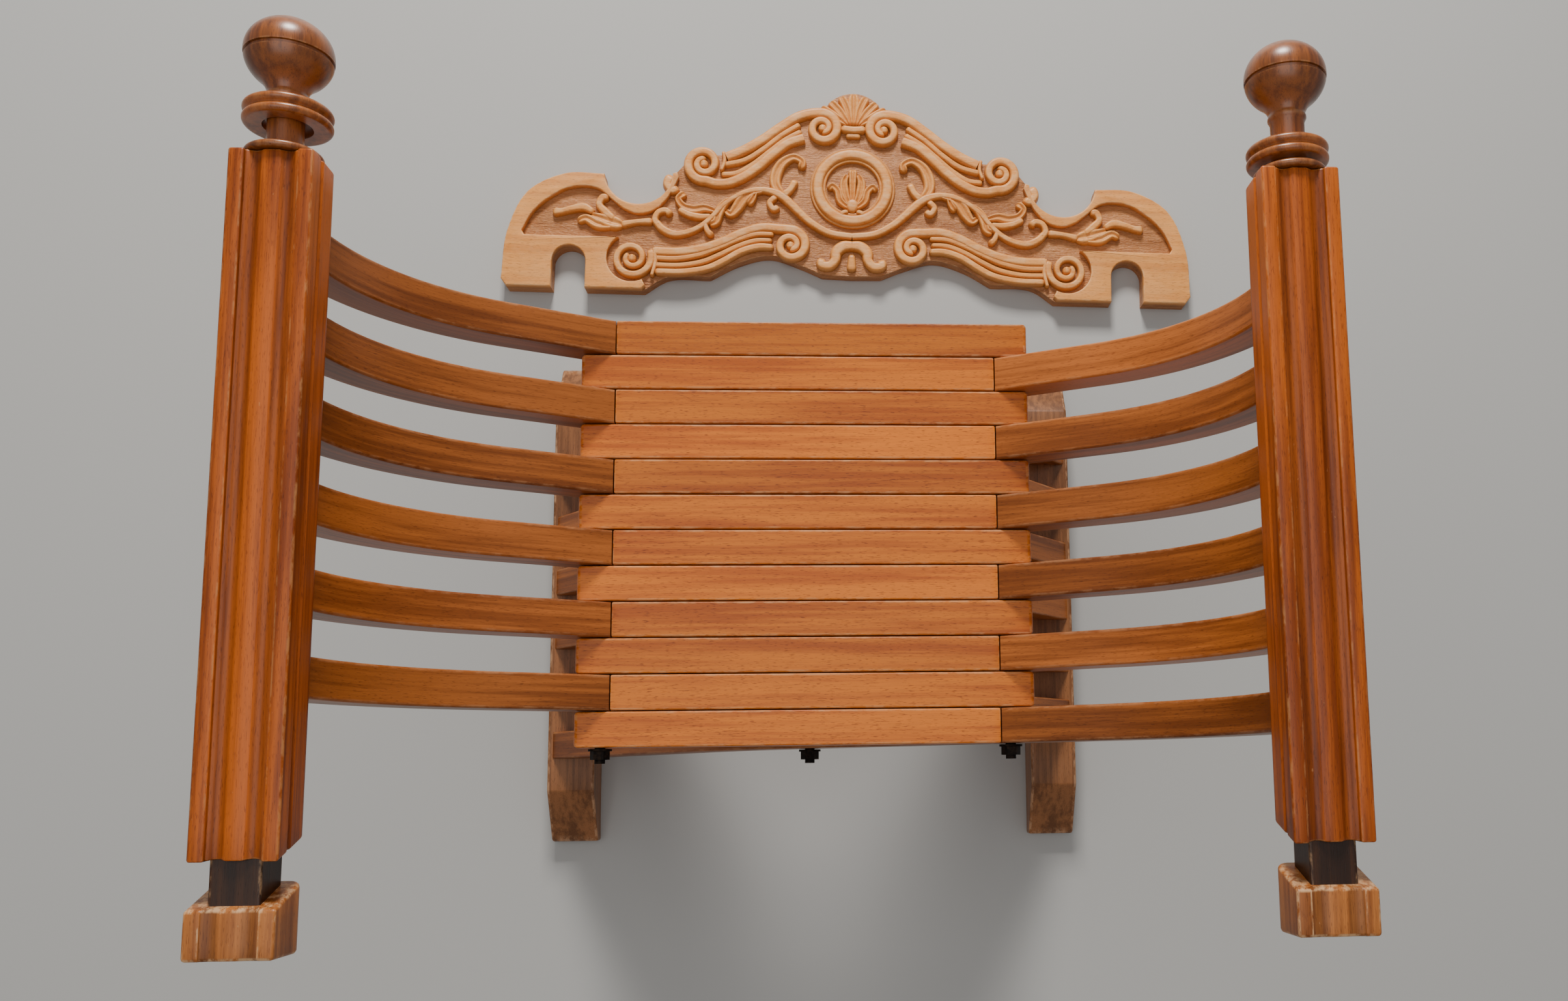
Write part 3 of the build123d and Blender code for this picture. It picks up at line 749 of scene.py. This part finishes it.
def runner():
    """The left runner."""
    section, edge = rounded_box_section(RUNNER_WIDTH, RUNNER_TOP, 2.0)
    half = [0, 40, 80, 120, 160, RUNNER_FLAT - 1.2, RUNNER_FLAT + 1.2]
    half += [215, 230, 245, 249.5, 251.3, RUNNER_HALF]
    stations = np.concatenate([-np.array(half)[:0:-1], half])
    size = np.abs(stations)
    slope_at = [RUNNER_FLAT - 1, RUNNER_FLAT + 1, RUNNER_HALF]
    height = np.interp(size, slope_at, [RUNNER_TOP, RUNNER_TOP - 0.8, RUNNER_TOE])
    inset = np.interp(size, [249.5, 251.3, RUNNER_HALF], [0, 0.7, RUNNER_ROUND])
    x = section[None, :, 0] * (1 - inset / RUNNER_WIDTH * 2)[:, None] + RUNNER_X
    z = section[None, :, 1] + RUNNER_TOP / 2
    shoulder = RUNNER_TOP - RUNNER_ROUND
    lowered = ((height - RUNNER_ROUND) / shoulder)[:, None]
    z = np.minimum(z, shoulder) * lowered + np.maximum(z - shoulder, 0)
    z = np.clip(z, inset[:, None], (height - inset)[:, None])
    y = np.broadcast_to(stations[:, None], x.shape)
    toe = np.clip((size - 246) / 5, 0, 1)[:, None]
    rings = np.stack([x, y, z], axis=-1)
    return loft(rings[:, ::-1], np.stack([y, x, z], axis=-1)[:, ::-1], np.maximum(edge, toe)[:, ::-1])


for side in ("left", "right"):
    shape = runner() if side == "left" else swapped(runner())
    frame_body = "right_frame" if side == "left" else "left_frame"
    make_piece(f"{side}_runner_wood", [shape], RUNNER_WOOD, frame_body, [f"{side}_runner"], seed=400)

# %% [markdown]
# The back board is carved in relief: a ground sunk about seven millimetres, and on it scrolls, vines,
# a medallion and a shell. A carver cuts each of these as one running stroke of the gouge, so each is
# made the same way here: a rounded section carried along a smooth line, its width swelling and
# shrinking as it goes. The board is drawn flat, its feet along y = 0 and its middle at x = 0, and at
# the end every point is scaled, turned and laid on the floor where the CAD board lies.

# %% Drawing lines on the board
GROUND = 14.0
RELIEF_TOP = 21.6
BOARD_PLACE = np.array([-40.5, -339.0])
BOARD_TURN = math.radians(179.0)
BOARD_SCALE = 762.0 / 796.0


def on_the_floor(points):
    """Takes points drawn on the board to where the board lies."""
    x, y = points[:, 0] * BOARD_SCALE, points[:, 1] * BOARD_SCALE
    cosine, sine = math.cos(BOARD_TURN), math.sin(BOARD_TURN)
    turned = np.stack([x * cosine - y * sine, x * sine + y * cosine], axis=1)
    return np.column_stack([turned + BOARD_PLACE, points[:, 2]])


def smooth_line(points, count):
    """A smooth curve through a few points: a cubic piece between each two, with matching slopes."""
    points = np.array(points, float)
    knots = np.concatenate([[0], np.cumsum(np.linalg.norm(np.diff(points[:, :2], axis=0), axis=1))])
    slopes = np.gradient(points, knots, axis=0)
    where = np.linspace(0, knots[-1], count)
    i = np.clip(np.searchsorted(knots, where, side="right") - 1, 0, len(points) - 2)
    span = (knots[i + 1] - knots[i])[:, None]
    u = (where[:, None] - knots[i][:, None]) / span
    start = (1 + 2 * u) * (1 - u) ** 2 * points[i] + u * (1 - u) ** 2 * span * slopes[i]
    return start + u**2 * (3 - 2 * u) * points[i + 1] + u**2 * (u - 1) * span * slopes[i + 1]


def arc_through(first, middle, last, count):
    """Points of the arc through three points."""
    a, b, c = (np.array(point, float) for point in (first, middle, last))
    matrix = 2 * np.array([b - a, c - a])
    centre = np.linalg.solve(matrix, [b @ b - a @ a, c @ c - a @ a])
    angles = np.unwrap([math.atan2(*(point - centre)[::-1]) for point in (a, b, c)])
    turn = np.linspace(angles[0], angles[2], count)
    return centre + np.linalg.norm(a - centre) * np.stack([np.cos(turn), np.sin(turn)], axis=1)


def spiral(centre, outer, inner, start, turns, count):
    """A volute: the radius shrinks evenly from outer to inner while the angle runs on, in degrees."""
    angle = np.radians(start + np.linspace(0, 360 * turns, count))
    radius = np.linspace(outer, inner, count)
    return np.stack([centre[0] + radius * np.cos(angle), centre[1] + radius * np.sin(angle)], axis=1)


# %% [markdown]
# The stroke is the carver's gouge. Its section is a rounded hump with steep sides, or, for leaves, a
# hump with a shallow channel down the middle. Points given as x, y and half width are smoothed
# together, so the width flows as evenly as the line. The tone falls towards the ground: partly stain
# that gathers low down, and partly painted shade low down with a painted highlight on the tops. The
# finish is rubbed off the tops.

# %% The carver's stroke
ACROSS = np.linspace(-1, 1, 15)
HUMP = (1 - np.abs(ACROSS) ** 4.5) ** 0.55
CHANNEL = HUMP - 0.30 * np.exp(-((ACROSS / 0.34) ** 2))
STROKE_BASE = GROUND - 1.0


def stroke(points, top=RELIEF_TOP, section=HUMP, count=None, tips=(True, True), fullness=1.3):
    """One carved stroke on the board through points of (x, y, half width)."""
    points = np.array(points, float)
    length = np.linalg.norm(np.diff(points[:, :2], axis=0), axis=1).sum()
    count = count or int(np.clip(length / 1.1, 10, 260))
    line = smooth_line(points, count)
    along = np.gradient(line[:, :2], axis=0)
    along /= np.linalg.norm(along, axis=1, keepdims=True)
    across = np.stack([along[:, 1], -along[:, 0]], axis=1)
    walked = np.concatenate([[0], np.cumsum(np.linalg.norm(np.diff(line[:, :2], axis=0), axis=1))])
    width = np.maximum(line[:, 2] * fullness, 0.4)
    rise = np.full(count, 1.0)
    for tip, distance in zip(tips, (walked, walked[-1] - walked)):
        if tip:
            reach = np.clip(distance / np.maximum(width, 1.5), 0, 1)
            rounded = np.sqrt(1 - (1 - reach) ** 2)
            width = width * (0.12 + 0.88 * rounded)
            rise = rise * (0.30 + 0.70 * rounded)
    xy = line[:, None, :2] + across[:, None, :] * (width[:, None] * ACROSS)[..., None]
    z = STROKE_BASE + (top - STROKE_BASE) * rise[:, None] * section
    rings = np.concatenate([xy, z[..., None]], axis=-1)
    shape = loft(rings[:, ::-1])
    # Painted shade and highlight: the tone darkens each stroke low down and lightens its top, on top of the
    # stain that gathers low.
    height = (shape["points"][:, 2] - GROUND) / (RELIEF_TOP - GROUND)
    shape["tone_and_shade"] = np.clip(height * 2.6 - 1.9, -1.9, 0.6)
    shape["edge"] = np.clip((height - 0.86) * 6, 0, 0.7)
    return shape


def reed(points, **shape):
    """A stroke at its drawn width, for lines that lie close beside each other."""
    return stroke(points, fullness=1.0, **shape)


def both_sides(shapes):
    """The strokes of the right half and the same strokes mirrored."""
    return shapes + [flipped({**shape, "points": shape["points"] * [-1, 1, 1]}) for shape in shapes]


def with_width(points, first, last):
    """Adds a half width that changes evenly from first to last."""
    return np.column_stack([points, np.linspace(first, last, len(points))])


# %% [markdown]
# The board itself is a slab cut to the outline, its top sunk to the ground. The flat borders at the
# shoulders and feet are a second layer with softened edges. Each is a polygon: its wall is a loft with
# the last rings drawn in and up for the round, closed with one flat face.

# %% Board and borders
def plate(outline, low, high, softness=1.2):
    """A flat plate cut to a closed outline, its upper edge rounded."""
    outline = np.array(outline, float)
    keep = np.linalg.norm(outline - np.roll(outline, 1, axis=0), axis=1) > 0.05
    outline = outline[keep]
    x, y = outline.T
    if np.sum(x * np.roll(y, -1) - np.roll(x, -1) * y) < 0:
        outline = outline[::-1]
    normal = outward(outline)
    turns = np.radians([0, 0, 22, 45, 68, 90])
    inset = softness * (1 - np.cos(turns))
    rise = high - softness + softness * np.sin(turns)
    rise[0] = low
    xy = outline[None] - normal[None] * inset[:, None, None]
    rings = np.concatenate([xy, np.broadcast_to(rise[:, None, None], (6, len(outline), 1))], axis=-1)
    shape = loft(rings)
    count = len(outline)
    shape["points"], shape["grain"] = shape["points"][:-2], shape["grain"][:-2]
    shape["triangles"] = shape["triangles"][:0]
    shape["polygons"] = [np.arange(count)[::-1], np.arange(count) + 5 * count]
    shape["edge"] = np.repeat([0, 0.3, 1, 1, 1, 0.15], count)
    return shape


def outline_half():
    """The right half of the board's outline, from the top middle round to the bottom middle."""
    notch_low, notch_high = (323 - 19, 31), (323 + 19, 31)
    return np.concatenate([
        arc_through((0, 250), (22, 243), (34, 229), 14),
        smooth_line([(34, 229), (62, 224), (108, 191), (150, 168)], 40),
        smooth_line([(150, 168), (186, 163), (208, 140)], 22),
        arc_through((208, 140), (242, 102), (286, 137), 36),
        smooth_line([(286, 137), (330, 136), (371, 114), (393, 66), (398, 8)], 60),
        [(392, 0), (342, 0)],
        arc_through(notch_high, (323, 50), notch_low, 20),
        [(304, 0), (238, 0)],
        smooth_line([(238, 0), (214, 16), (163, 19)], 24),
        smooth_line([(163, 19), (130, 37), (95, 46), (60, 36), (34, 25)], 44),
        [(0, 24)],
    ])


def border_half():
    """The flat border of the right shoulder and foot, cut away round the lower volute."""
    outer = np.concatenate([
        [(203, 142)],
        arc_through((208, 140), (242, 102), (286, 137), 36),
        smooth_line([(286, 137), (330, 136), (371, 114), (393, 66), (398, 8)], 60),
        [(392, 0), (342, 0)],
        arc_through((342, 31), (323, 50), (304, 31), 20),
        [(304, 0), (240, 0), (236, 4)],
    ])
    volute = spiral((252, 37), 28.5, 28.5, -116, 173 / 360, 36)
    inner = smooth_line([(377, 66), (366, 88), (349, 105), (325, 119), (293, 119), (276, 106), (262, 95),
                         (247, 90), (231, 93), (217, 105), (207, 122), (201, 136)], 70)
    return np.concatenate([outer, volute, [(374, 61)], inner])


right_edge = outline_half()
whole_edge = np.concatenate([right_edge, right_edge[-2:0:-1] * [-1, 1]])
base_board = plate(whole_edge, 0.0, GROUND, 0.8)
# Painted shade, partly stain: the sunk ground is darkened between the relief, and the border's walls darken
# towards the ground.
base_board["tone_and_shade"] = np.where(base_board["points"][:, 2] > GROUND - 1, -0.9, -0.3)
border = plate(border_half(), GROUND - 1, RELIEF_TOP, 1.6)
border["tone_and_shade"] = np.clip((border["points"][:, 2] - GROUND) / 3 - 1.8, -1.5, 0.25)
make_piece("back_board_ground", [base_board], CARVED_GROUND, "back_board", ["carved_back_board"],
           move=on_the_floor)
make_piece("back_board_border", both_sides([border]), CARVED_WOOD, "back_board", move=on_the_floor, seed=2)

# %% [markdown]
# Each S-scroll has a band along its upper edge that rolls up into one volute, a band along its lower
# edge, and two reeds between them held by a small collar. A volute and its band are one line, so the
# band never breaks where it starts to curl. Only the outer volute of the lower scroll stands alone,
# beyond its collar.

# %% Scrolls
def volute_and_band(centre, radius, start, turns, band, wide, narrow):
    """A band that runs into its volute as one stroke, from the eye outwards."""
    coil = spiral(centre, radius, 4.6, start, turns, 40)[::-1]
    coil = with_width(coil, narrow, wide)
    rest = np.array([(*point, wide) for point in band])
    return stroke(np.concatenate([coil, rest]), tips=(True, False), fullness=1.35)


def eye(centre, radius=5.2):
    """The round eye at the heart of a volute."""
    x, y = centre
    return reed([(x - radius, y, radius), (x, y, radius), (x + radius, y, radius)], count=24)


def carved(name, shapes, seed):
    """One piece of the carving, laid on the board."""
    make_piece(name, shapes, CARVED_WOOD, "back_board", move=on_the_floor, seed=seed, sharp=60)


UPPER_VOLUTE, UPPER_END = (36, 203), (173, 154)
LOWER_VOLUTE, LOWER_END = (71, 58), (252, 37)
upper = [
    volute_and_band(UPPER_VOLUTE, 19.5, 82, 1.55, [(48, 221.5), (62, 217.5), (84, 203), (106, 186),
                                                   (128, 172), (147, 163)], 4.9, 2.8),
    volute_and_band(UPPER_END, 20.5, -98, 1.6, [(160, 131), (146, 131.5), (130, 138), (112, 151),
                                                (94, 168), (76, 183), (58, 190)], 4.7, 2.9),
    reed([(62, 207, 3.8), (84, 192, 3.9), (104, 175, 3.9), (126, 160, 3.9), (150, 153.5, 3.8)], top=20.6),
    reed([(60, 198.5, 3.6), (79, 187, 3.8), (98, 171, 3.8), (118, 154, 3.8), (136, 143.5, 3.8),
          (153, 141.5, 3.6)], top=20.6),
    reed([(151, 170, 2.4), (149, 158, 2.6), (153, 145, 2.4)], top=21.4),
    eye(UPPER_VOLUTE), eye(UPPER_END),
]
lower = [
    volute_and_band(LOWER_VOLUTE, 19.5, 84, 1.55, [(84, 78), (104, 78.5), (125, 72), (148, 60.5),
                                                   (172, 51), (200, 46), (226, 46)], 4.7, 2.8),
    reed([(90, 55, 4.0), (108, 55, 4.6), (128, 48.5, 4.7), (146, 37.5, 4.7), (164, 28, 4.6),
          (190, 22.5, 4.5), (226, 21.5, 4.5)]),
    reed([(90, 70.5, 3.2), (110, 70, 3.7), (130, 63.5, 3.8), (152, 53, 3.8), (176, 43, 3.8),
          (200, 38, 3.8), (228, 38, 3.7)], top=20.6),
    reed([(92, 63, 3.0), (110, 62.3, 3.6), (130, 55.5, 3.7), (150, 45, 3.7), (170, 35.5, 3.7),
          (196, 30, 3.7), (228, 29.7, 3.7)], top=20.6),
    reed([(227, 51, 2.6), (225, 34, 2.8), (229, 15, 2.6)], top=21.4),
    reed(with_width(spiral(LOWER_END, 23.0, 5.0, 150, 1.75, 60), 5.0, 3.6)),
    eye(LOWER_VOLUTE), eye(LOWER_END),
]
for name, shapes in (("upper_scrolls", upper), ("lower_scrolls", lower)):
    carved(name, both_sides(shapes), 3)

# %% [markdown]
# The vine leaves the band under the medallion, throws off curled leaves on both sides and ends in a
# bud in the shoulder of the board. Leaves are the channelled stroke; stems and curls the plain one.

# %% Vine, leaves and bud
vine = [
    stroke([(0, 70.5, 3.6), (25, 74, 3.7), (46, 85, 3.8), (60, 97, 4.0), (72, 109, 4.4), (85, 119, 4.4),
            (102, 124, 3.4),
            (120, 122, 3.1), (136, 114, 3.0), (150, 103, 2.9), (162, 89, 2.9), (175, 77, 3.1),
            (190, 69.5, 3.4),
            (205, 67.5, 3.9), (218, 73, 4.0), (227, 83, 3.6)], tips=(False, True)),
    stroke([(219, 74, 3.4), (227, 84, 3.4), (223, 93, 3.3), (214, 95, 3.4), (209, 89, 4.0)]),
    stroke([(229, 82, 3.8), (247, 80.5, 2.8), (266, 76.5, 3.9)]),
    stroke([(262, 76, 4.6), (276, 79.5, 7.4), (290, 84, 5.0), (300, 88, 2.5)], section=CHANNEL),
    stroke([(272, 82, 3.0), (283, 91, 4.2), (291, 101, 3.6), (286, 109, 4.0), (280, 107, 3.0)]),
    stroke([(274, 75, 3.6), (292, 76.5, 5.2), (307, 83, 4.2), (315, 79, 3.4)], section=CHANNEL),
    stroke([(296, 90, 2.6), (308, 96.5, 4.4), (322, 94, 3.6), (334, 90.5, 3.4), (344, 90, 5.0)]),
    stroke([(82, 118, 4.6), (90, 133, 5.4), (88, 148, 5.8), (80, 160, 5.0), (68, 165.5, 4.0),
            (59, 160, 3.8), (61, 151, 4.4)], section=CHANNEL),
    stroke([(82, 117, 4.4), (73, 125, 3.6), (66, 138, 4.0)]),
    stroke([(88, 117, 3.4), (96, 108, 3.2), (91, 101, 3.2), (85, 105, 3.4)]),
    stroke([(103, 123, 2.0), (118, 120, 4.4), (128, 111, 6.2), (134, 101, 5.6), (141, 93.5, 3.8),
            (147, 98, 3.2)], section=CHANNEL),
    stroke([(136, 114, 2.2), (148, 106, 4.4), (155, 94, 5.2), (158, 83, 4.0), (165, 80, 3.6)],
           section=CHANNEL),
    stroke([(156, 96, 2.4), (171, 100, 4.6), (184, 98, 5.0), (196, 102, 4.0), (201, 110, 3.6),
            (193, 118, 4.4)], section=CHANNEL),
    stroke([(162, 90, 2.4), (177, 89, 3.6), (190, 92, 3.4), (201, 98, 3.0)]),
    stroke([(112, 122, 2.0), (116, 112, 3.4), (121, 105, 3.4)], section=CHANNEL),
    stroke([(170, 82, 2.0), (166, 71, 3.2), (160, 66, 3.4)]),
    stroke([(209, 139, 5.4), (214, 128, 4.6), (208, 120, 4.0), (201, 124, 4.2)]),
]
carved("vine_leaves", both_sides(vine), 4)

# %% [markdown]
# The medallion is turned rather than gouged: a tall rounded ring with a thin ring inside it and another
# round it, and a flower at its middle. The shell above it is a fan of lobes over a collar.

# %% Medallion, shell and foot ornament
MEDALLION = (0, 131)


def round_band(radius, half_width, top):
    """A ring of even section round the medallion."""
    line = with_width(spiral(MEDALLION, radius, radius, 90, 1.0, 90), half_width, half_width)
    return stroke(line, top=top, tips=(False, False), count=120)


shell = [
    stroke([(-15, 203.5, 3.6), (0, 202, 3.8), (15, 203.5, 3.6)]),
    stroke([(-9, 195, 2.6), (9, 195, 2.6)], top=19.0),
    stroke([(0, 208, 2.4), (0, 224, 5.0), (0, 238, 6.4), (0, 248, 4.0)], section=CHANNEL),
]
for lobe, (bend, tip) in enumerate((((8, 229), (15, 244)), ((16, 224), (28, 237)), ((22, 218), (39, 229)))):
    line = [(3 + 2 * lobe, 208, 2.2), (*bend, 4.6), (*tip, 4.6)]
    shell += both_sides([stroke(line, section=CHANNEL)])
flower = [
    stroke([(0, 99, 4.0), (0, 108, 6.4), (0, 118, 4.0)]),
    stroke([(0, 112, 2.4), (0, 128, 3.4), (0, 144, 4.2), (0, 154, 5.0)], section=CHANNEL),
]
flower += both_sides([
    stroke([(3, 108, 2.4), (9, 124, 4.6), (10, 138, 4.0), (6, 147, 2.4)], section=CHANNEL),
    stroke([(4, 105, 2.6), (14, 114, 3.8), (18, 127, 3.6), (24, 132, 3.4), (28, 127, 3.4)],
           section=CHANNEL),
    stroke([(4, 101, 2.2), (11, 99, 2.6), (14, 95, 2.4)]),
])
FOOT_FULLNESS = 1.75
foot = both_sides([
    stroke([(0, 59.5, 3.6), (10, 58.5, 4.2), (18, 51, 4.2), (19, 42, 3.6), (26, 34.5, 3.6), (35, 36, 3.4),
            (34, 44, 3.6)], tips=(False, True), fullness=FOOT_FULLNESS),
])
foot += [stroke([(0, 28, 3.6), (0, 40, 3.0), (0, 50, 2.4)], top=19.5, fullness=FOOT_FULLNESS)]
medallion = [round_band(40.5, 5.4, RELIEF_TOP), round_band(33.0, 1.7, 18.4), round_band(48.0, 1.6, 17.2)]
ornaments = {"shell": shell, "medallion_flower": flower, "foot_ornament": foot, "medallion": medallion}
for name, shapes in ornaments.items():
    carved(name, shapes, 5)
